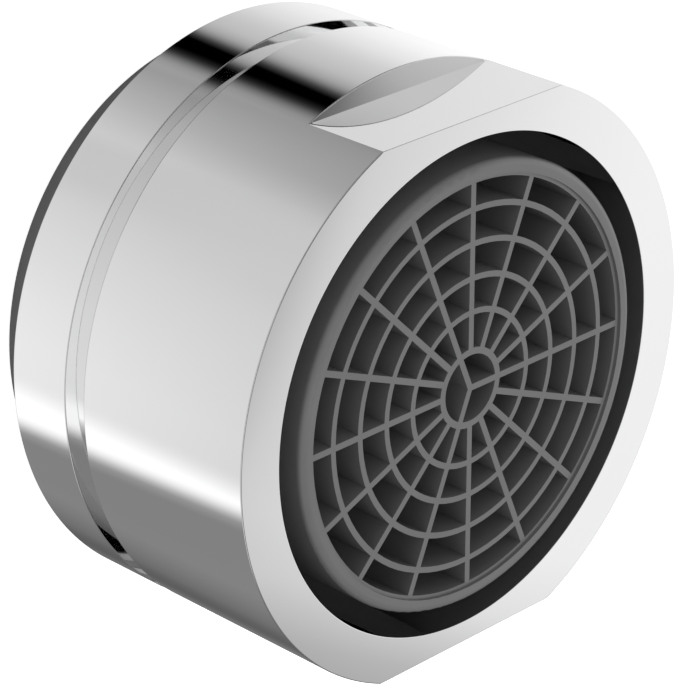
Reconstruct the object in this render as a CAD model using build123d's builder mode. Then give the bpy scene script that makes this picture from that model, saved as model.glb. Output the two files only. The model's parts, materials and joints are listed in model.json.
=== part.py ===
"""A tap aerator: a chromed brass shell round a moulded cartridge with a spider web outlet.

Millimetres. The part stands on the face of its sealing washer, at its inlet end. Z is the axis, and the
water runs up it to the outlet. The spanner flats face +Y and -Y.
"""

from build123d import *
import os

# Shell
shell_diameter = 24.0
shell_length = 12.58
flat_depth = 1.0
flats_length = 3.82
collar_length = 3.0
groove_width = 1.05
groove_depth = 0.76
bore_wall = 1.9
seat_step = 0.75
mouth_chamfer = 0.2

# Sealing washer
washer_gap = 0.28
washer_width = 2.0
washer_thickness = 2.45
washer_recess = 0.43

# Fits between the mouldings
fit_clearance = 0.05
seat_clearance = 0.15

# Inlet housing
flange_thickness = 1.5
skirt_wall = 0.63
lip_thickness = 0.5
lip_width = 0.5
strainer_recess = 0.95
strainer_ledge = 0.65
leg_thickness = 0.5
leg_width = 1.6

# Snap noses on the skirt, in slots of the sleeve
snap_count = 4
snap_height = 0.45
snap_length = 0.8
snap_tip = 0.3
snap_width = 2.0
snap_from_mouth = 0.6

# Outlet housing
sleeve_gap = 1.0
sleeve_wall = 0.72
rim_proud = 0.15
rim_ledge = 0.15
rim_rounding = 0.3
window_count = 8
window_angle = 30.0
window_margin = 0.35

# Spider web
web_spokes = 16
spoke_width = 0.26
ring_width = 0.24
hub_radius = 1.65
hub_wall = 0.27
hub_arm_angles = (180.0, 292.5, 67.5)

# Jet grids
grid_wall = 0.3
grid_rim_width = 0.6
grid_bars = 7
grid_turn = 45.0
grid_standoff = 0.4

# Jet splitter
splitter_thickness = 1.2
jet_width = 0.75
jet_first_count = 10
jet_count_step = 6

# Flow regulator
regulator_wall = 0.7
regulator_plate = 0.6
regulator_chamber = 0.6
channel_wall = 0.7
regulator_ring_height = 1.5
regulator_ring_width = 1.4
hub_lobes = 8
lobe_radius = 0.35
slot_count = 8
slot_width = 1.1
slot_angle = 30.0

# Strainer
strainer_flange = 0.8
strainer_wall = 0.6
strainer_plate = 0.5
strainer_inset = 0.9
strainer_gap = 1.2
mesh_ring_count = 3
mesh_slot_width = 0.45
mesh_bridge = 0.5
mesh_plain_radius = 1.6
mesh_first_count = 12
mesh_count_step = 8

# Levels along the axis, from the face of the washer
shell_end = washer_thickness - washer_recess
outlet_face = shell_end + shell_length
flange_face = washer_thickness
flange_back = flange_face + flange_thickness
stack_length = outlet_face - flange_back
sleeve_mouth = flange_back + 0.12 * stack_length
skirt_end = flange_back + 0.325 * stack_length
first_grid_front = skirt_end + 0.18 * stack_length
second_grid_front = first_grid_front + 0.085 * stack_length
web_back = second_grid_front + 0.13 * stack_length
rim_face = outlet_face + rim_proud
strainer_seat = flange_face + strainer_recess
splitter_back = skirt_end - lip_thickness
splitter_front = splitter_back - splitter_thickness
strainer_face = strainer_inset

# Radii that neighbours share
shell_radius = shell_diameter / 2
flat_distance = shell_radius - flat_depth
bore_radius = shell_radius - bore_wall
seat_radius = bore_radius + seat_step
washer_radius = seat_radius - washer_gap
washer_hole_radius = washer_radius - washer_width
sleeve_radius = bore_radius - sleeve_gap
sleeve_inside = sleeve_radius - sleeve_wall
skirt_outside = sleeve_inside - fit_clearance
skirt_inside = skirt_outside - skirt_wall
insert_radius = skirt_inside - fit_clearance
recess_radius = skirt_inside + strainer_ledge
regulator_ring_radius = 0.555 * insert_radius

# Rings of the web and of the jets, from the middle outwards
web_ring_radii = [share * sleeve_inside for share in (0.3752, 0.542, 0.7088, 0.8757)]
jet_ring_radii = [share * insert_radius for share in (0.392, 0.615, 0.837)]


def ring_face(middle, width):
    """A flat ring of the given middle radius and width, kept apart until it is added."""
    return Circle(middle + width / 2, mode=Mode.PRIVATE) - Circle(middle - width / 2, mode=Mode.PRIVATE)


def spokes(count, start, end, width):
    """Radial bars, evenly spaced, from one radius to another."""
    with PolarLocations((start + end) / 2, count):
        Rectangle(end - start, width)


def sector(inner, outer, angle):
    """A slice of a flat ring, centred on +X."""
    with BuildSketch(mode=Mode.PRIVATE) as slice_of_ring:
        with BuildLine():
            near_arc = CenterArc((0, 0), inner, -angle / 2, angle)
            far_arc = CenterArc((0, 0), outer, -angle / 2, angle)
            Line(near_arc @ 0, far_arc @ 0)
            Line(near_arc @ 1, far_arc @ 1)
        make_face()
    return slice_of_ring.sketch


def grid_web(reach):
    """The crossed bars of a jet grid, out to the middle of its rim."""
    grid_pitch = 2 * reach / (grid_bars + 1)
    with GridLocations(0, grid_pitch, 1, grid_bars):
        Rectangle(2 * reach, grid_wall)
    with GridLocations(grid_pitch, 0, grid_bars, 1):
        Rectangle(grid_wall, 2 * reach)
    Circle(reach, mode=Mode.INTERSECT)


# Shell: one turned piece with a stepped bore
with BuildPart() as shell:
    groove_near = shell_end + collar_length
    groove_far = groove_near + groove_width
    groove_floor = shell_radius - groove_depth
    shell_seat = flange_back
    with BuildSketch(Plane.XZ):
        with BuildLine():
            Polyline(
                (seat_radius + mouth_chamfer, shell_end),
                (shell_radius, shell_end),
                (shell_radius, groove_near),
                (groove_floor, groove_near),
                (groove_floor, groove_far),
                (shell_radius, groove_far),
                (shell_radius, outlet_face),
                (bore_radius, outlet_face),
                (bore_radius, shell_seat),
                (seat_radius, shell_seat),
                (seat_radius, shell_end + mouth_chamfer),
                close=True,
            )
        make_face()
    revolve(axis=Axis.Z)
    with BuildSketch(Plane.XY.offset(outlet_face)):
        for side in (1, -1):
            with Locations((0, side * (flat_distance + flat_depth / 2))):
                Rectangle(shell_diameter, flat_depth)
    extrude(amount=-flats_length, mode=Mode.SUBTRACT)
shell.part.label = "shell"

# Sealing washer: a flat rubber ring on the flange of the cartridge
with BuildPart() as sealing_washer:
    with BuildSketch():
        Circle(washer_radius)
        Circle(washer_hole_radius, mode=Mode.SUBTRACT)
    extrude(amount=washer_thickness)
sealing_washer.part.label = "sealing_washer"

# One snap nose, with a sloped lead for the sleeve
with BuildPart() as snap_nose:
    nose_start = sleeve_mouth + snap_from_mouth
    with BuildSketch(Plane.XZ):
        with BuildLine():
            Polyline(
                (skirt_outside - skirt_wall / 2, nose_start),
                (skirt_outside + snap_height, nose_start),
                (skirt_outside + snap_height, nose_start + snap_tip),
                (skirt_outside, nose_start + snap_length),
                (skirt_outside - skirt_wall / 2, nose_start + snap_length),
                close=True,
            )
        make_face()
    extrude(amount=snap_width / 2, both=True)

# Inlet housing: flange in the seat of the shell, barrel, and a skirt with snap noses and legs
with BuildPart() as inlet_housing:
    flange_radius = seat_radius - seat_clearance
    window_step = 360 / window_count
    with BuildSketch(Plane.XZ):
        with BuildLine():
            Polyline(
                (recess_radius, flange_face),
                (flange_radius, flange_face),
                (flange_radius, flange_back),
                (sleeve_radius, flange_back),
                (sleeve_radius, sleeve_mouth),
                (skirt_outside, sleeve_mouth),
                (skirt_outside, skirt_end),
                (skirt_inside - lip_width, skirt_end),
                (skirt_inside - lip_width, splitter_back),
                (skirt_inside, splitter_back),
                (skirt_inside, strainer_seat),
                (recess_radius, strainer_seat),
                close=True,
            )
        make_face()
    revolve(axis=Axis.Z)
    with PolarLocations(0, snap_count):
        add(snap_nose.part)
    with BuildSketch(Plane.XY.offset(skirt_end)):
        with PolarLocations((skirt_inside + skirt_outside) / 2, window_count, start_angle=window_step / 2):
            Rectangle(leg_thickness, leg_width)
    extrude(amount=first_grid_front - skirt_end)
inlet_housing.part.label = "inlet_housing"

# Outlet housing: sleeve with its rim, snap slots and air windows, and the spider web in one with it
with BuildPart() as outlet_housing:
    rim_inside = sleeve_inside + rim_ledge
    with BuildSketch(Plane.XZ):
        with BuildLine():
            Polyline(
                (sleeve_radius, rim_face - rim_rounding),
                (sleeve_radius, sleeve_mouth),
                (sleeve_inside, sleeve_mouth),
                (sleeve_inside, outlet_face),
                (rim_inside, outlet_face),
                (rim_inside, rim_face),
                (sleeve_radius - rim_rounding, rim_face),
            )
            RadiusArc(
                (sleeve_radius - rim_rounding, rim_face),
                (sleeve_radius, rim_face - rim_rounding),
                rim_rounding,
            )
        make_face()
    revolve(axis=Axis.Z)
    with BuildSketch(Plane.XY.offset(web_back)):
        hub_middle = hub_radius - hub_wall / 2
        spokes(web_spokes, hub_middle, sleeve_inside + rim_ledge / 2, spoke_width)
        for radius in web_ring_radii:
            add(ring_face(radius, ring_width))
        add(ring_face(hub_middle, hub_wall))
        for angle in hub_arm_angles:
            with PolarLocations(hub_middle / 2, 1, start_angle=angle):
                Rectangle(hub_middle, spoke_width)
    extrude(amount=outlet_face - web_back)
    with BuildSketch(Plane.XY.offset(skirt_end + window_margin)):
        with PolarLocations(0, window_count):
            add(sector(sleeve_inside - sleeve_wall, sleeve_radius + sleeve_wall, window_angle))
    extrude(amount=first_grid_front - skirt_end - 2 * window_margin, mode=Mode.SUBTRACT)
    with BuildSketch(Plane.XY.offset(nose_start - fit_clearance)):
        with PolarLocations(sleeve_radius, snap_count):
            Rectangle(3 * sleeve_wall, snap_width + 2 * fit_clearance)
    extrude(amount=snap_length + 2 * fit_clearance, mode=Mode.SUBTRACT)
outlet_housing.part.label = "outlet_housing"

# Second grid: its rim rests on the back of the web, and its bars stand off from it
with BuildPart() as second_grid:
    grid_radius = sleeve_inside - fit_clearance
    rim_middle = grid_radius - grid_rim_width / 2
    with BuildSketch(Plane.XY.offset(second_grid_front)):
        add(ring_face(rim_middle, grid_rim_width))
    extrude(amount=web_back - second_grid_front)
    with BuildSketch(Plane.XY.offset(second_grid_front).rotated((0, 0, grid_turn))):
        grid_web(rim_middle)
    extrude(amount=web_back - second_grid_front - grid_standoff)
second_grid.part.label = "second_grid"

# First grid: lies on the rim of the second, held by the legs of the inlet housing
with BuildPart() as first_grid:
    with BuildSketch(Plane.XY.offset(first_grid_front)):
        grid_web(rim_middle)
        add(ring_face(rim_middle, grid_rim_width))
    extrude(amount=second_grid_front - first_grid_front)
first_grid.part.label = "first_grid"

# Jet splitter: a perforated plate on the lip of the inlet housing
with BuildPart() as jet_splitter:
    with BuildSketch(Plane.XY.offset(splitter_front)):
        Circle(insert_radius)
        for number, radius in enumerate(jet_ring_radii):
            with PolarLocations(radius, jet_first_count + number * jet_count_step):
                Rectangle(jet_width, jet_width, mode=Mode.SUBTRACT)
    extrude(amount=splitter_thickness)
jet_splitter.part.label = "jet_splitter"

# Flow regulator body: outer wall, slotted plate, channel wall and lobed hub
with BuildPart() as regulator_body:
    plate_back = splitter_front - regulator_chamber
    plate_front = plate_back - regulator_plate
    channel_inside = regulator_ring_radius - regulator_ring_width / 2 - fit_clearance
    channel_outside = regulator_ring_radius + regulator_ring_width / 2 + fit_clearance
    hub_core = channel_inside - lobe_radius
    channel_front = plate_front - regulator_ring_height
    with BuildSketch(Plane.XY.offset(strainer_seat)):
        add(ring_face(insert_radius - regulator_wall / 2, regulator_wall))
    extrude(amount=splitter_front - strainer_seat)
    with BuildSketch(Plane.XY.offset(plate_front)):
        Circle(insert_radius - regulator_wall / 2)
        with PolarLocations(0, slot_count):
            slot_inner = regulator_ring_radius - slot_width / 2
            add(sector(slot_inner, slot_inner + slot_width, slot_angle), mode=Mode.SUBTRACT)
    extrude(amount=regulator_plate)
    with BuildSketch(Plane.XY.offset(channel_front)):
        add(ring_face(channel_outside + channel_wall / 2, channel_wall))
        Circle(hub_core)
        with PolarLocations(hub_core, hub_lobes):
            Circle(lobe_radius)
    extrude(amount=regulator_ring_height)
regulator_body.part.label = "regulator_body"

# Regulator ring: a square-cut rubber ring that lies on the slotted plate
with BuildPart() as regulator_ring:
    with BuildSketch(Plane.XY.offset(channel_front)):
        add(ring_face(regulator_ring_radius, regulator_ring_width))
    extrude(amount=regulator_ring_height)
regulator_ring.part.label = "regulator_ring"

# Strainer: a slotted cap that reaches into the washer, on a flange in the mouth of the inlet housing
with BuildPart() as strainer:
    cap_radius = washer_hole_radius - strainer_gap
    cap_inside = cap_radius - strainer_wall
    flange_front = strainer_seat - strainer_flange
    plate_inner = strainer_face + strainer_plate
    with BuildSketch(Plane.XZ):
        with BuildLine():
            Polyline(
                (0, strainer_face),
                (cap_radius, strainer_face),
                (cap_radius, flange_front),
                (recess_radius - fit_clearance, flange_front),
                (recess_radius - fit_clearance, strainer_seat),
                (cap_inside, strainer_seat),
                (cap_inside, plate_inner),
                (0, plate_inner),
                close=True,
            )
        make_face()
    revolve(axis=Axis.Z)
    with BuildSketch(Plane.XY.offset(strainer_face)):
        mesh_pitch = (cap_inside - mesh_plain_radius) / mesh_ring_count
        for number in range(mesh_ring_count):
            slots = mesh_first_count + number * mesh_count_step
            with PolarLocations(mesh_plain_radius + (number + 0.5) * mesh_pitch, slots):
                Rectangle(mesh_pitch - mesh_bridge, mesh_slot_width)
    extrude(amount=strainer_plate, mode=Mode.SUBTRACT)
strainer.part.label = "strainer"

pieces = (
    shell,
    sealing_washer,
    inlet_housing,
    outlet_housing,
    strainer,
    regulator_body,
    regulator_ring,
    jet_splitter,
    first_grid,
    second_grid,
)
os.makedirs("parts", exist_ok=True)
for piece in pieces:
    export_step(piece.part, f"parts/{piece.part.label}.step")
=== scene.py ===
"""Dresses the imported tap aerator: chrome, rubber and moulded plastic, with a studio and the camera."""

import json
import math

import bmesh
import bpy
import numpy as np
from bpy.props import FloatProperty, FloatVectorProperty, PointerProperty
from mathutils import Matrix, Vector

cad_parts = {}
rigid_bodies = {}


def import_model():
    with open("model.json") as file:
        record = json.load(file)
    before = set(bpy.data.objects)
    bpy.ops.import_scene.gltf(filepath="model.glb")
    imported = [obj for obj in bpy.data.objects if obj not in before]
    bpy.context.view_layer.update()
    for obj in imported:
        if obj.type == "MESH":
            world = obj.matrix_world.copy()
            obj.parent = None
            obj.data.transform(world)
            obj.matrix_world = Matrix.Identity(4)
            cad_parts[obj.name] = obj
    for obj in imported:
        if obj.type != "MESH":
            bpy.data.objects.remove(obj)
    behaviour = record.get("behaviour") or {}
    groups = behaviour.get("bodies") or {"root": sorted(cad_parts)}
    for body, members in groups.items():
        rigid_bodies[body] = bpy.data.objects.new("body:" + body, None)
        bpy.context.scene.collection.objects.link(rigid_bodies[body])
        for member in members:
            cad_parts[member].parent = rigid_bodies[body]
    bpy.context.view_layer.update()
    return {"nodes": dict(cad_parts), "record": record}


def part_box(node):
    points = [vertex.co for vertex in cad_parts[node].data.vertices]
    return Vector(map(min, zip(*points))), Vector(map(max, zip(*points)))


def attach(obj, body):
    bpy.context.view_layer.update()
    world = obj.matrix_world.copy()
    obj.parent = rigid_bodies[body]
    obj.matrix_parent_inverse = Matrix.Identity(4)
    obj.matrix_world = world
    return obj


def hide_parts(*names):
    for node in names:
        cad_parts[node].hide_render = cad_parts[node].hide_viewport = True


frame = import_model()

bl_info = {
    "name": "Tap Aerator",
    "version": (1, 0, 0),
    "blender": (4, 5, 0),
    "location": "3D View > Sidebar > Aerator",
    "description": "Finishes and studio for a chromed tap aerator",
    "category": "Object",
}

MM = 0.001
PICTURE_HEIGHT = 692
SENSOR_WIDTH = 36
CLIP_START, CLIP_END = 0.005, 20
FLOOR_DROP = 0.01 * MM
BLACK, WHITE = (0.0, 0.0, 0.0, 1.0), (1.0, 1.0, 1.0, 1.0)

# Points round the axis per flat, per round side and for the washer, and steps in each rounding
FLAT_POINTS, ROUND_POINTS, WASHER_POINTS, ARC_STEPS = 48, 144, 288, 5
STRIP = 0.015 * MM
MERGE_DISTANCE = 1e-7
SHARP_ANGLE = 20

# Finishes: scale and detail of each noise, how far the polish and the greys drift, and the depth of the grain
POLISH_NOISE, DRIFT_NOISE, GRAIN_NOISE = (260, 3), (380, 4), (9000, 2)
POLISH_SPREAD, GREY_SPREAD = 0.4, 0.04
DRIFT_RANGE = (0.3, 0.7)
GRAIN_DEPTH = 0.02 * MM

# Sides of the two turned profiles, from the outlet end of the bore outwards and round
OUTWARDS, INWARDS, UP, DOWN = (1, 0), (-1, 0), (0, 1), (0, -1)
SHELL_SIDES = (OUTWARDS, DOWN, OUTWARDS, DOWN, INWARDS, DOWN,
               OUTWARDS, DOWN, INWARDS, UP, INWARDS, UP)
RING_SIDES = (OUTWARDS, DOWN, INWARDS, UP)

mounts = {mount["name"]: mount for mount in frame["record"]["mounts"]}
shell_low, shell_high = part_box("shell")
washer_low, washer_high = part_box("sealing_washer")
collar_length = mounts["spout_collar"]["dims"]["length_mm"] * MM
flat_distance = abs(mounts["spanner_flat_back"]["pos_m"][1])
flat_length = 2 * (shell_high[2] - mounts["spanner_flat_back"]["pos_m"][2])


def length(name, default, description):
    """A length in metres, shown in the scene's units."""
    return FloatProperty(name=name, description=description, default=default, min=0.0, precision=5,
                         subtype="DISTANCE", unit="LENGTH")


def level(name, default, description):
    """A plain share from 0 to 1."""
    return FloatProperty(name=name, description=description, default=default, min=0.0, max=1.0,
                         subtype="FACTOR")


def colour(name, default, description):
    """A linear colour."""
    return FloatVectorProperty(name=name, description=description, default=default, size=3, min=0.0,
                               max=1.0, subtype="COLOR")


def degrees(name, default, description, low=-90.0, high=90.0):
    """A number of degrees, or of degrees per degree."""
    return FloatProperty(name=name, description=description, default=default, min=low, max=high)


def arrow(name, default, description, subtype, unit="NONE"):
    """A place or a direction."""
    return FloatVectorProperty(name=name, description=description, default=default, size=3,
                               subtype=subtype, unit=unit)


class ShellSettings(bpy.types.PropertyGroup):
    """Sizes and finish of the chromed shell."""

    radius: length("Radius", shell_high[0], "Outer radius of the shell")
    flat_distance: length("Flat distance", flat_distance, "From the axis to a spanner flat")
    flat_length: length("Flat length", flat_length, "Length of a spanner flat along the axis")
    collar_length: length("Collar", collar_length, "Length of the collar at the inlet end")
    groove_width: length("Groove width", 1.05 * MM, "Width of the relief groove")
    groove_depth: length("Groove depth", 0.76 * MM, "Depth of the relief groove")
    bore_radius: length("Bore radius", 10.1 * MM, "Radius of the outlet bore")
    seat_radius: length("Seat radius", 10.85 * MM, "Radius of the seat for the cartridge flange")
    seat_depth: length("Seat depth", 1.93 * MM, "Depth of that seat from the inlet end")
    edge_radius: length("Edge radius", 0.045 * MM, "Rounding of the turned edges")
    rim_radius: length("Rim radius", 0.03 * MM, "Rounding of the rim at the outlet end")
    collar_edge: length("Collar edge", 0.03 * MM, "Rounding of the collar beside the groove")
    fine_radius: length("Fine edge radius", 0.01 * MM, "Rounding of the edges of the bore and the flats")
    wall_lift: length("Wall lift", 0.024 * MM, "How much the wall of a flat rises outwards")
    mouth_radius: length("Mouth rounding", 0.2 * MM, "Rounding at the mouth of the seat")
    chrome: colour("Chrome", (0.944, 0.945, 0.947), "Reflected colour of the plating")
    roughness: level("Roughness", 0.035, "Roughness of the plating")


class WasherSettings(bpy.types.PropertyGroup):
    """Sizes and finish of the sealing washer."""

    radius: length("Radius", washer_high[0], "Outer radius of the washer")
    hole_radius: length("Hole radius", 8.57 * MM, "Radius of the hole")
    edge_radius: length("Edge radius", 0.12 * MM, "Rounding of the moulded edges")
    rubber: colour("Rubber", (0.2, 0.2, 0.202), "Colour of the rubber")
    roughness: level("Roughness", 0.62, "Roughness of the rubber")
    grain: level("Grain", 0.15, "Strength of the fine moulded grain")


class CartridgeSettings(bpy.types.PropertyGroup):
    """Finishes of the moulded cartridge."""

    web: colour("Web", (0.161, 0.161, 0.162), "Colour of the outlet housing and its web")
    housing: colour("Inlet housing", (0.15, 0.15, 0.152), "Colour of the inlet housing")
    sieve: colour("Strainer", (0.3, 0.31, 0.32), "Colour of the strainer")
    regulator: colour("Regulator", (0.5, 0.5, 0.49), "Colour of the regulator body")
    splitter: colour("Splitter", (0.6, 0.6, 0.58), "Colour of the jet splitter")
    grids: colour("Grids", (0.13, 0.13, 0.132), "Colour of the two jet grids")
    ring: colour("Regulator ring", (0.05, 0.05, 0.05), "Colour of the rubber ring of the regulator")
    ring_roughness: level("Ring roughness", 0.6, "Roughness of that ring")
    web_roughness: level("Web roughness", 0.35, "Roughness of the outlet housing and its web")
    roughness: level("Roughness", 0.5, "Roughness of the mouldings")
    grain: level("Grain", 0.06, "Strength of the fine moulded grain")


class StudioSettings(bpy.types.PropertyGroup):
    """Floor, light and camera."""

    floor_radius: length("Floor radius", 3.0, "Radius of the floor")
    floor_level: level("Floor", 0.8, "Grey level of the floor")
    floor_glow: level("Floor glow", 0.85, "How far the floor is lifted to white for the camera")
    fill: level("Fill", 0.55, "Level of the plain light from all round")
    chrome_return: level("Chrome return", 0.945, "Share that the plating sends back, made up by the screens")
    wing_level: level("Wing", 0.506, "Grey level of the wing beside the white screen")
    wing_slant: degrees("Wing slant", 1.84, "Turn of the wing's edge per degree of height", 0.0, 5.0)
    curtain_slant: degrees("Curtain slant", 2.14, "Turn of the curtain's near edge per degree", 0.0, 5.0)
    curtain_end_slant: degrees("Curtain end slant", 1.2, "Turn of its far edge per degree", 0.0, 5.0)
    slant_middle: degrees("Slant middle", -43.0, "Height at which the slanted edges are in place")
    slant_bottom: degrees("Slant bottom", -46.0, "Height below which they turn no further")
    slant_top: degrees("Slant top", -38.5, "Height above which they turn no further")
    high_slant: degrees("High slant", 0.36, "Turn of the high screens per degree of height", 0.0, 5.0)
    high_middle: degrees("High middle", 37.5, "Height at which the high screens are in place")
    high_start: degrees("High start", -30.0, "Height at which the high screens take over")
    high_blend: degrees("High blend", 20.0, "Degrees over which they do", 1.0, 90.0)
    fade: level("Fade", 0.2, "How fast the screens grow or fade with the height")
    hood_side: degrees("Hood side", 150.0, "Compass angle where the hood comes lower", 0.0, 360.0)
    hood_spread: degrees("Hood spread", 28.0, "Half the angle over which it comes lower", 0.0, 180.0)
    hood_lift: degrees("Hood lift", 14.0, "Degrees that the rest of the hood is higher", 0.0, 45.0)
    key_energy: FloatProperty(name="Key lamp", description="Power of the lamp over the outlet",
                              default=1.1, min=0.0, unit="POWER")
    key_height: length("Key height", 0.5, "Height of the lamp over the floor")
    key_size: length("Key size", 0.35, "Side of the lamp")
    camera_place: arrow("Camera", (0.086241, -0.056430, 0.093982), "Place of the camera", "XYZ", "LENGTH")
    camera_forward: arrow("View", (-0.64019, 0.42300, -0.64127), "Direction of the view", "DIRECTION")
    camera_up: arrow("Up", (-0.29910, -0.90613, -0.29912), "Direction that is up in the picture", "DIRECTION")
    focal_pixels: FloatProperty(name="Focal length", description="Focal length in picture pixels",
                                default=3423.8, min=1.0)


class AeratorSettings(bpy.types.PropertyGroup):
    """All settings of the aerator."""

    shell: PointerProperty(type=ShellSettings)
    washer: PointerProperty(type=WasherSettings)
    cartridge: PointerProperty(type=CartridgeSettings)
    studio: PointerProperty(type=StudioSettings)


# Surfaces


def rounded_profile(angles, corners, ways, edges):
    """Round the corners of a closed profile whose sides run along the axis or square to it.

    corners holds a radius and a height per corner, each one number or one per angle round the axis, ways the
    direction of the side that leaves each corner, and edges the rounding b of each corner, never more than a
    third of a side. A corner P between the directions u, in, and v, out, becomes the arc
    P + b v (1 - cos t) - b u (1 - sin t) for t from 0 to a quarter turn. One more point on each side, a short
    way from the arc, keeps the side flat to the eye. The result has one row of points per angle.
    """
    points = np.stack([np.stack(np.broadcast_arrays(r, z, angles)[:2], -1) for r, z in corners], 1)
    count = points.shape[1]
    sides = np.linalg.norm(np.roll(points, -1, 1) - points, axis=-1)
    turns = np.linspace(0, math.pi / 2, ARC_STEPS + 1)
    rows = []
    for number in range(count):
        into = np.array(ways[number - 1], float)
        out = np.array(ways[number], float)
        near, far = sides[:, number - 1], sides[:, number]
        size = np.minimum(edges[number], np.minimum(near, far) / 3)[:, None, None]
        place = points[:, number, None, :]
        before = np.minimum(STRIP, near / 6)[:, None, None]
        after = np.minimum(STRIP, far / 6)[:, None, None]
        arc = out * (1 - np.cos(turns))[:, None] - into * (1 - np.sin(turns))[:, None]
        rows += [place - into * (size + before), place + size * arc[None], place + out * (size + after)]
    return np.concatenate(rows, 1)


def turned_mesh(name, angles, corners, ways, edges):
    """Carry a rounded profile, one row of points per angle, round the axis: x = r cos a, y = r sin a."""
    profile = rounded_profile(angles, corners, ways, edges)
    radius, height = profile[..., 0], profile[..., 1]
    points = np.stack([radius * np.cos(angles)[:, None], radius * np.sin(angles)[:, None], height], -1)
    rows, columns = height.shape
    here = np.arange(rows * columns).reshape(rows, columns)
    beside = np.roll(here, -1, 0)
    quads = np.stack([here, np.roll(here, -1, 1), np.roll(beside, -1, 1), beside], -1).reshape(-1, 4)
    mesh = bpy.data.meshes.new(name)
    mesh.from_pydata(points.reshape(-1, 3).tolist(), [], quads.tolist())
    work = bmesh.new()
    work.from_mesh(mesh)
    bmesh.ops.remove_doubles(work, verts=work.verts, dist=MERGE_DISTANCE)
    bmesh.ops.recalc_face_normals(work, faces=work.faces)
    work.to_mesh(mesh)
    work.free()
    mesh.shade_smooth()
    mesh.set_sharp_from_angle(angle=math.radians(SHARP_ANGLE))
    return mesh


def add_piece(name, mesh, material, slot, *nodes):
    """Show a mesh as a piece that rides on the part and stands for CAD nodes."""
    for old in [o for o in bpy.data.objects if o.name == name]:
        bpy.data.objects.remove(old)
    piece = bpy.data.objects.new(name, mesh)
    bpy.context.scene.collection.objects.link(piece)
    mesh.materials.append(material)
    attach(piece, "root")
    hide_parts(*nodes)
    return piece


# Materials


class NodeMaker:
    """Short ways to add nodes to one node tree and to link them."""

    def __init__(self, tree):
        self.nodes, self.links = tree.nodes, tree.links

    def feed(self, socket, value):
        """Link a socket to another node's output, or set it to a plain value."""
        if isinstance(value, bpy.types.NodeSocket):
            self.links.new(value, socket)
        else:
            socket.default_value = value

    def noise(self, scale, detail):
        """A noise in object space."""
        place = self.nodes.new("ShaderNodeTexCoord")
        cloud = self.nodes.new("ShaderNodeTexNoise")
        self.feed(cloud.inputs["Vector"], place.outputs["Object"])
        self.feed(cloud.inputs["Scale"], scale)
        self.feed(cloud.inputs["Detail"], detail)
        return cloud.outputs["Fac"]

    def sums(self, operation, *values):
        """One step of arithmetic on one to three numbers."""
        node = self.nodes.new("ShaderNodeMath")
        node.operation = operation
        for socket, value in zip(node.inputs, values):
            self.feed(socket, value)
        return node.outputs["Value"]

    def ramp(self, share, stops, span):
        """The level that a share of a span has on a ramp of (place, level) stops."""
        node = self.nodes.new("ShaderNodeValToRGB")
        elements = node.color_ramp.elements
        while len(elements) > 1:
            elements.remove(elements[-1])
        for number, (place, value) in enumerate(stops):
            stop = elements[0] if number == 0 else elements.new(place / span)
            stop.position = place / span
            stop.color = (value, value, value, 1)
        self.feed(node.inputs["Fac"], share)
        return node.outputs["Color"]

    def mix(self, share, first, second):
        """A blend of two colours."""
        node = self.nodes.new("ShaderNodeMix")
        node.data_type = "RGBA"
        self.feed(node.inputs["Factor"], share)
        self.feed(node.inputs["A"], first)
        self.feed(node.inputs["B"], second)
        return node.outputs["Result"]


def new_material(name):
    """A node material, the maker of its nodes, and its shader."""
    material = bpy.data.materials.new(name)
    material.use_nodes = True
    make = NodeMaker(material.node_tree)
    return material, make, make.nodes["Principled BSDF"]


def chrome_material(settings):
    """Bright plating, with a very fine unevenness in its polish."""
    material, make, shader = new_material("chrome_plate")
    polish = make.nodes.new("ShaderNodeMapRange")
    make.feed(polish.inputs["Value"], make.noise(*POLISH_NOISE))
    make.feed(polish.inputs["To Min"], settings.roughness * (1 - POLISH_SPREAD))
    make.feed(polish.inputs["To Max"], settings.roughness * (1 + POLISH_SPREAD))
    make.feed(shader.inputs["Metallic"], 1.0)
    make.feed(shader.inputs["Base Color"], (*settings.chrome, 1))
    make.feed(shader.inputs["Roughness"], polish.outputs["Result"])
    return material


def moulded_material(name, tint, roughness, grain):
    """Moulded plastic or rubber: a slight drift of its grey, and a fine grain."""
    material, make, shader = new_material(name)
    shades = make.nodes.new("ShaderNodeValToRGB")
    spread = (1 - GREY_SPREAD, 1 + GREY_SPREAD)
    for stop, position, share in zip(shades.color_ramp.elements, DRIFT_RANGE, spread):
        stop.position = position
        stop.color = (*[c * share for c in tint], 1)
    bump = make.nodes.new("ShaderNodeBump")
    make.feed(bump.inputs["Height"], make.noise(*GRAIN_NOISE))
    make.feed(bump.inputs["Strength"], grain)
    make.feed(bump.inputs["Distance"], GRAIN_DEPTH)
    make.feed(shades.inputs["Fac"], make.noise(*DRIFT_NOISE))
    make.feed(shader.inputs["Base Color"], shades.outputs["Color"])
    make.feed(shader.inputs["Roughness"], roughness)
    make.feed(shader.inputs["Normal"], bump.outputs["Normal"])
    return material


def dress_node(node, material):
    """Give a CAD node its finish, in its own material slots."""
    slots = frame["nodes"][node].material_slots
    if not slots:
        raise RuntimeError(f"node {node} has no material slot")
    for slot in slots:
        slot.material = material


# Pieces


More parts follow.
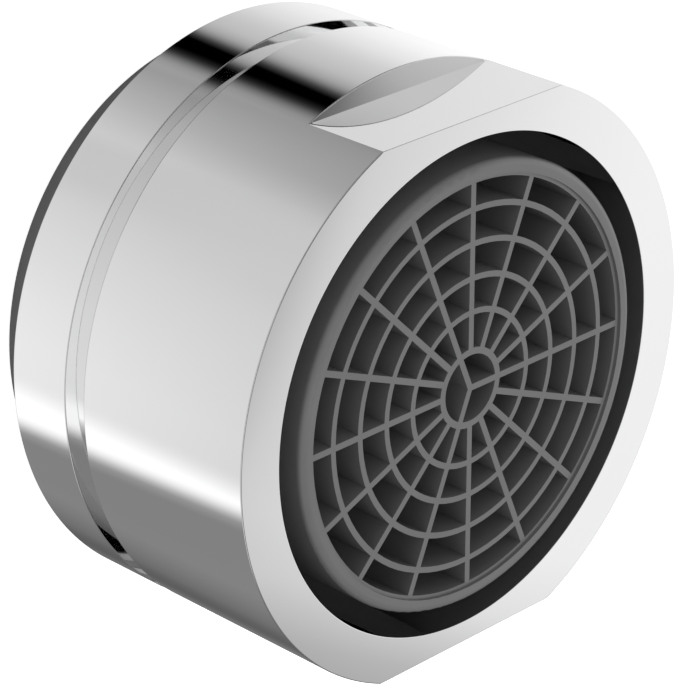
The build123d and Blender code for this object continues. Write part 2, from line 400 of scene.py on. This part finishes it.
class AERATOR_OT_shell(bpy.types.Operator):
    """Make the turned shell with its flats, groove and rounded edges"""

    bl_idname = "aerator.shell"
    bl_label = "Shell"

    def execute(self, context):
        s = context.scene.aerator.shell
        half = math.acos(s.flat_distance / s.radius)
        flat = np.linspace(-half, half, FLAT_POINTS, endpoint=False)
        plain = np.linspace(half, math.pi - half, ROUND_POINTS, endpoint=False)
        quarter = math.pi / 2
        angles = np.concatenate([flat + quarter, plain + quarter, flat + 3 * quarter, plain + 3 * quarter])
        reach = s.flat_distance / np.maximum(np.abs(np.sin(angles)), 1e-6)
        local = np.minimum(s.radius, reach)
        foot, head = shell_low[2], shell_high[2]
        groove_near = foot + s.collar_length
        groove_far = groove_near + s.groove_width
        floor = s.radius - s.groove_depth
        wall = head - s.flat_length
        seat = foot + s.seat_depth
        rise = wall + s.wall_lift * (s.radius - local) / (s.radius - s.flat_distance)
        corners = [
            (s.bore_radius, head), (local, head), (local, wall), (s.radius, rise),
            (s.radius, groove_far), (floor, groove_far), (floor, groove_near), (s.radius, groove_near),
            (s.radius, foot), (s.seat_radius, foot), (s.seat_radius, seat), (s.bore_radius, seat),
        ]
        edge, fine = s.edge_radius, s.fine_radius
        head_edge = np.where(local < s.radius, fine, s.rim_radius)
        edges = [fine, head_edge, 0, s.rim_radius, edge, 0,
                 0, s.collar_edge, edge, s.mouth_radius, 0, edge]
        mesh = turned_mesh("shell_chrome", angles, corners, SHELL_SIDES, edges)
        add_piece("shell_chrome", mesh, chrome_material(s), "chromed_brass", "shell")
        return {"FINISHED"}


class AERATOR_OT_washer(bpy.types.Operator):
    """Make the rubber sealing washer with its moulded edges"""

    bl_idname = "aerator.washer"
    bl_label = "Sealing washer"

    def execute(self, context):
        s = context.scene.aerator.washer
        angles = np.linspace(0, 2 * math.pi, WASHER_POINTS, endpoint=False)
        foot, head = washer_low[2], washer_high[2]
        corners = [(s.hole_radius, head), (s.radius, head), (s.radius, foot), (s.hole_radius, foot)]
        mesh = turned_mesh("washer_rubber", angles, corners, RING_SIDES, [s.edge_radius] * 4)
        rubber = moulded_material("sealing_rubber", s.rubber, s.roughness, s.grain)
        add_piece("washer_rubber", mesh, rubber, "washer_rubber", "sealing_washer")
        return {"FINISHED"}


class AERATOR_OT_cartridge(bpy.types.Operator):
    """Give the moulded pieces of the cartridge their finishes"""

    bl_idname = "aerator.cartridge"
    bl_label = "Cartridge"

    def execute(self, context):
        s = context.scene.aerator.cartridge
        finishes = {
            "outlet_housing": ("web_moulding", s.web, s.web_roughness),
            "inlet_housing": ("inlet_moulding", s.housing, s.roughness),
            "strainer": ("strainer_moulding", s.sieve, s.roughness),
            "regulator_body": ("regulator_moulding", s.regulator, s.roughness),
            "regulator_ring": ("ring_rubber", s.ring, s.ring_roughness),
            "jet_splitter": ("splitter_moulding", s.splitter, s.roughness),
            "first_grid": ("grid_moulding", s.grids, s.roughness),
            "second_grid": ("grid_moulding", s.grids, s.roughness),
        }
        made = {}
        for node, (name, tint, roughness) in finishes.items():
            if name not in made:
                made[name] = moulded_material(name, tint, roughness, s.grain)
            dress_node(node, made[name])
        return {"FINISHED"}


# Studio


def floor_material(settings):
    """A pale floor that the camera sees lifted to white, and that polished metal looks through."""
    material, make, shader = new_material("studio_floor")
    grey = settings.floor_level
    make.feed(shader.inputs["Base Color"], (grey, grey, grey, 1))
    make.feed(shader.inputs["Roughness"], 1.0)
    make.feed(shader.inputs["Specular IOR Level"], 0.0)
    path = make.nodes.new("ShaderNodeLightPath")
    glow = make.nodes.new("ShaderNodeEmission")
    both = make.nodes.new("ShaderNodeAddShader")
    clear = make.nodes.new("ShaderNodeBsdfTransparent")
    choice = make.nodes.new("ShaderNodeMixShader")
    lift = make.sums("MULTIPLY", path.outputs["Is Camera Ray"], settings.floor_glow)
    make.feed(glow.inputs["Strength"], lift)
    make.feed(both.inputs[0], shader.outputs["BSDF"])
    make.feed(both.inputs[1], glow.outputs["Emission"])
    make.feed(choice.inputs["Fac"], path.outputs["Is Glossy Ray"])
    make.feed(choice.inputs[1], both.outputs["Shader"])
    make.feed(choice.inputs[2], clear.outputs["BSDF"])
    make.feed(make.nodes["Material Output"].inputs["Surface"], choice.outputs["Shader"])
    return material


# The studio as polished metal sees it, as stops of a place and a level: pale screens all round, that grow or
# fade with the height; a grey wing that ends the white screen and a black curtain with a near and a far edge,
# which turn with the height; other screens higher up; and a dark hood and ground. Places are compass angles
# in degrees, or heights in degrees for HOOD and for GROUND, which counts downwards. GAP darkens the band
# between the low and the high screens, which only rounded edges mirror: it goes by the degrees from straight
# down, and GAP_SIDES by the compass. Screens and HOOD_GREYS are greys out of 255 and the rest are shares. In
# FADE, over a half is a screen that grows brighter with the height and under a half one that fades.
SCREENS = ((0, 221), (18, 225.5), (32, 226), (35, 231), (39, 245), (42, 257), (62, 257), (66, 129), (86, 130),
           (92, 125), (106, 109), (112, 97), (118, 91), (123, 93), (130, 106), (146, 112),
           (147, 236), (177, 236), (189, 230), (201, 219), (213, 200), (230, 178), (258, 151),
           (270, 165.5), (277, 173), (283, 182.5), (291, 196), (310, 199), (334, 211.5))
FADE = ((0, 0.32), (31, 0.29), (44, 0.5), (117, 0.5), (125, 0.78), (147, 0.71), (207, 0.71), (222, 0.67),
        (232, 0.5), (257, 0.38), (270, 0.23), (279, 0.15), (289, 0.27), (297, 0.52), (312, 0.53),
        (321, 0.4), (345, 0.37))
WING = ((0, 0), (48, 0), (50, 0.13), (52, 0.39), (54, 0.68), (56, 0.9), (60, 1), (80, 1), (81, 0), (360, 0))
CURTAIN = ((0, 0), (223.2, 0), (227.2, 0.11), (229.2, 0.235), (231.2, 0.43), (233.2, 0.73), (235.2, 0.93),
           (237.5, 1), (275, 1), (276, 0), (360, 0))
CURTAIN_END = ((0, 1), (244, 1), (247, 0.945), (249, 0.71), (251, 0.4), (253, 0.16), (256, 0), (360, 0))
HIGH_SCREENS = ((0, 216), (27, 221), (38, 223), (42, 244), (46.5, 257), (50, 200), (55, 132), (88, 128),
                (100, 120), (114, 98), (125, 95), (138, 140), (140.6, 183), (141.7, 216),
                (142.2, 228), (143, 237), (171, 250), (182, 246), (198, 204), (208.5, 198), (209.5, 180),
                (210.4, 135), (211.3, 96), (220, 98), (223, 42), (231, 38), (237, 139), (260, 154),
                (277, 178), (304, 191))
HOOD = ((0, 0), (36, 0), (36.6, 0.03), (37.6, 0.08), (38.6, 0.17), (39.5, 0.24), (40.4, 0.315), (40.7, 0.395),
        (42, 0.85), (43.5, 1), (90, 1))
GROUND = ((0, 0), (48, 0), (56, 1), (90, 1))
GAP = ((0, 0), (60, 0), (63, 1), (94, 1), (99, 0), (180, 0))
GAP_SIDES = ((0, 0.8), (36, 0.8), (41, 0.4), (56, 0.4), (62, 0.8), (120, 0.8), (130, 0), (243, 0), (250, 0.9),
             (360, 0.8))
HOOD_GREYS = ((0, 165), (60, 165), (110, 130), (135, 102), (180, 102), (250, 50), (293, 50), (312, 120),
              (332, 165))


def screen_light(grey):
    """The linear level of a screen grey from 0 to 1, by the sRGB curve."""
    return ((grey + 0.055) / 1.055) ** 2.4 if grey > 0.04045 else grey / 12.92


def compass_ring(make, settings, stops, angle):
    """Screens all round, lighter by the share that the plating keeps; the last stop joins the first."""
    lights = [(place, screen_light(grey / 255) / settings.chrome_return) for place, grey in stops]
    return make.ramp(angle, lights + [(360, lights[0][1])], 360)


def low_screens(make, settings, compass, height):
    """The screens that upright surfaces mirror, with the wing and the curtain before them."""
    low = make.sums("MAXIMUM", make.sums("MINIMUM", height, settings.slant_top), settings.slant_bottom)
    low = make.sums("SUBTRACT", low, settings.slant_middle)

    def edge(slant, stops):
        """A wing or a curtain whose edge turns with the height."""
        return make.ramp(make.sums("MULTIPLY_ADD", low, slant / 360, compass), stops, 360)

    growth = make.ramp(compass, (*FADE, (360, FADE[0][1])), 360)
    growth = make.sums("MULTIPLY", make.sums("SUBTRACT", growth, 0.5), low)
    growth = make.sums("MULTIPLY_ADD", growth, settings.fade, 1.0)
    screens = make.sums("MULTIPLY", compass_ring(make, settings, SCREENS, compass), growth)
    grey = screen_light(settings.wing_level) / settings.chrome_return
    screens = make.mix(edge(settings.wing_slant, WING), screens, (grey, grey, grey, 1.0))
    curtain = make.sums("MULTIPLY", edge(-settings.curtain_slant, CURTAIN),
                        edge(-settings.curtain_end_slant, CURTAIN_END))
    return make.mix(curtain, screens, BLACK)


def high_screens(make, settings, compass, height):
    """The screens that level surfaces mirror, which turn with the height."""
    turn = make.sums("SUBTRACT", height, settings.high_middle)
    turn = make.sums("MULTIPLY_ADD", turn, settings.high_slant / 360, compass)
    return compass_ring(make, settings, HIGH_SCREENS, turn)


def mirrored_studio(make, settings):
    """What polished metal mirrors: low and high screens, the gap between them, the hood and the ground."""
    place = make.nodes.new("ShaderNodeTexCoord")
    parts = make.nodes.new("ShaderNodeSeparateXYZ")
    make.feed(parts.inputs["Vector"], place.outputs["Generated"])
    turn = make.sums("ARCTAN2", parts.outputs["Y"], parts.outputs["X"])
    compass = make.sums("FRACT", make.sums("MULTIPLY_ADD", turn, 0.5 / math.pi, 1.0))
    height = make.sums("MULTIPLY", make.sums("ARCSINE", parts.outputs["Z"]), 180 / math.pi)

    blend = settings.high_blend
    lift = make.sums("MULTIPLY_ADD", height, 1 / blend, -settings.high_start / blend)
    lift = make.sums("MINIMUM", make.sums("MAXIMUM", lift, 0.0), 1.0)
    low = low_screens(make, settings, compass, height)
    screens = make.mix(lift, low, high_screens(make, settings, compass, height))
    gap = make.ramp(make.sums("MULTIPLY_ADD", height, 1 / 180, 0.5), GAP, 180)
    gap = make.sums("MULTIPLY", gap, make.ramp(compass, GAP_SIDES, 360))
    screens = make.mix(gap, screens, BLACK)

    side = make.sums("COMPARE", compass, settings.hood_side / 360, settings.hood_spread / 360)
    lifted = make.sums("SUBTRACT", height, settings.hood_lift)
    lifted = make.sums("MULTIPLY_ADD", side, settings.hood_lift, lifted)
    lifted = make.sums("MAXIMUM", make.sums("MULTIPLY", lifted, 1 / 90), 0.0)
    under = make.sums("MAXIMUM", make.sums("MULTIPLY", height, -1 / 90), 0.0)
    hood = compass_ring(make, settings, HOOD_GREYS, compass)
    screens = make.mix(make.ramp(lifted, HOOD, 90), screens, hood)
    return make.mix(make.ramp(under, GROUND, 90), screens, hood)


def studio_world(settings):
    """White for the camera, plain fill for matt surfaces, and the mirrored studio for polished ones."""
    world = bpy.data.worlds.new("studio")
    world.use_nodes = True
    make = NodeMaker(world.node_tree)
    make.nodes.clear()
    out = make.nodes.new("ShaderNodeOutputWorld")
    ground = make.nodes.new("ShaderNodeBackground")
    path = make.nodes.new("ShaderNodeLightPath")
    fill = (settings.fill, settings.fill, settings.fill, 1.0)
    seen = make.mix(path.outputs["Is Glossy Ray"], fill, mirrored_studio(make, settings))
    seen = make.mix(path.outputs["Is Camera Ray"], seen, WHITE)
    make.feed(ground.inputs["Color"], seen)
    make.feed(out.inputs["Surface"], ground.outputs["Background"])
    return world


def disc_mesh(name, radius, height, count=128):
    """A flat disc: a ring of points x = r cos a, y = r sin a at one height."""
    angles = np.linspace(0, 2 * math.pi, count, endpoint=False)
    points = np.stack([radius * np.cos(angles), radius * np.sin(angles), np.full(count, height)], -1)
    mesh = bpy.data.meshes.new(name)
    mesh.from_pydata(points.tolist(), [], [list(range(count))])
    return mesh


class AERATOR_OT_stage(bpy.types.Operator):
    """Set up the floor, the lights and the camera"""

    bl_idname = "aerator.stage"
    bl_label = "Stage"

    def execute(self, context):
        s = context.scene.aerator.studio
        scene = context.scene
        floor = bpy.data.objects.new("floor", disc_mesh("floor", s.floor_radius, -FLOOR_DROP))
        floor.data.materials.append(floor_material(s))
        scene.collection.objects.link(floor)
        scene.world = studio_world(s)

        lamp = bpy.data.lights.new("key_lamp", "AREA")
        lamp.energy = s.key_energy
        lamp.size = s.key_size
        key = bpy.data.objects.new("key_lamp", lamp)
        key.location = (0, 0, s.key_height)
        key.visible_glossy = False
        scene.collection.objects.link(key)

        lens = bpy.data.cameras.new("camera")
        lens.sensor_width = SENSOR_WIDTH
        lens.lens = s.focal_pixels * SENSOR_WIDTH / PICTURE_HEIGHT
        lens.clip_start = CLIP_START
        lens.clip_end = CLIP_END
        camera = bpy.data.objects.new("camera", lens)
        forward = Vector(s.camera_forward).normalized()
        right = forward.cross(Vector(s.camera_up)).normalized()
        up = right.cross(forward)
        turn = Matrix((right, up, -forward)).transposed().to_4x4()
        camera.matrix_world = Matrix.Translation(s.camera_place) @ turn
        scene.collection.objects.link(camera)
        scene.camera = camera
        scene.view_settings.view_transform = "Standard"
        return {"FINISHED"}


class AERATOR_PT_panel(bpy.types.Panel):
    """The steps that dress the aerator"""

    bl_idname = "AERATOR_PT_panel"
    bl_label = "Tap Aerator"
    bl_space_type = "VIEW_3D"
    bl_region_type = "UI"
    bl_category = "Aerator"

    def draw(self, context):
        for step in STEPS:
            self.layout.operator(step.bl_idname)


STEPS = (AERATOR_OT_shell, AERATOR_OT_washer, AERATOR_OT_cartridge, AERATOR_OT_stage)
CLASSES = (ShellSettings, WasherSettings, CartridgeSettings, StudioSettings, AeratorSettings, *STEPS,
           AERATOR_PT_panel)


def register():
    """Register the classes and the scene's settings."""
    for item in CLASSES:
        bpy.utils.register_class(item)
    bpy.types.Scene.aerator = PointerProperty(type=AeratorSettings)


def unregister():
    """Take the settings and the classes away again."""
    del bpy.types.Scene.aerator
    for item in reversed(CLASSES):
        bpy.utils.unregister_class(item)


def main():
    register()
    bpy.ops.aerator.shell()
    bpy.ops.aerator.washer()
    bpy.ops.aerator.cartridge()
    bpy.ops.aerator.stage()


if __name__ == "__main__":
    main()
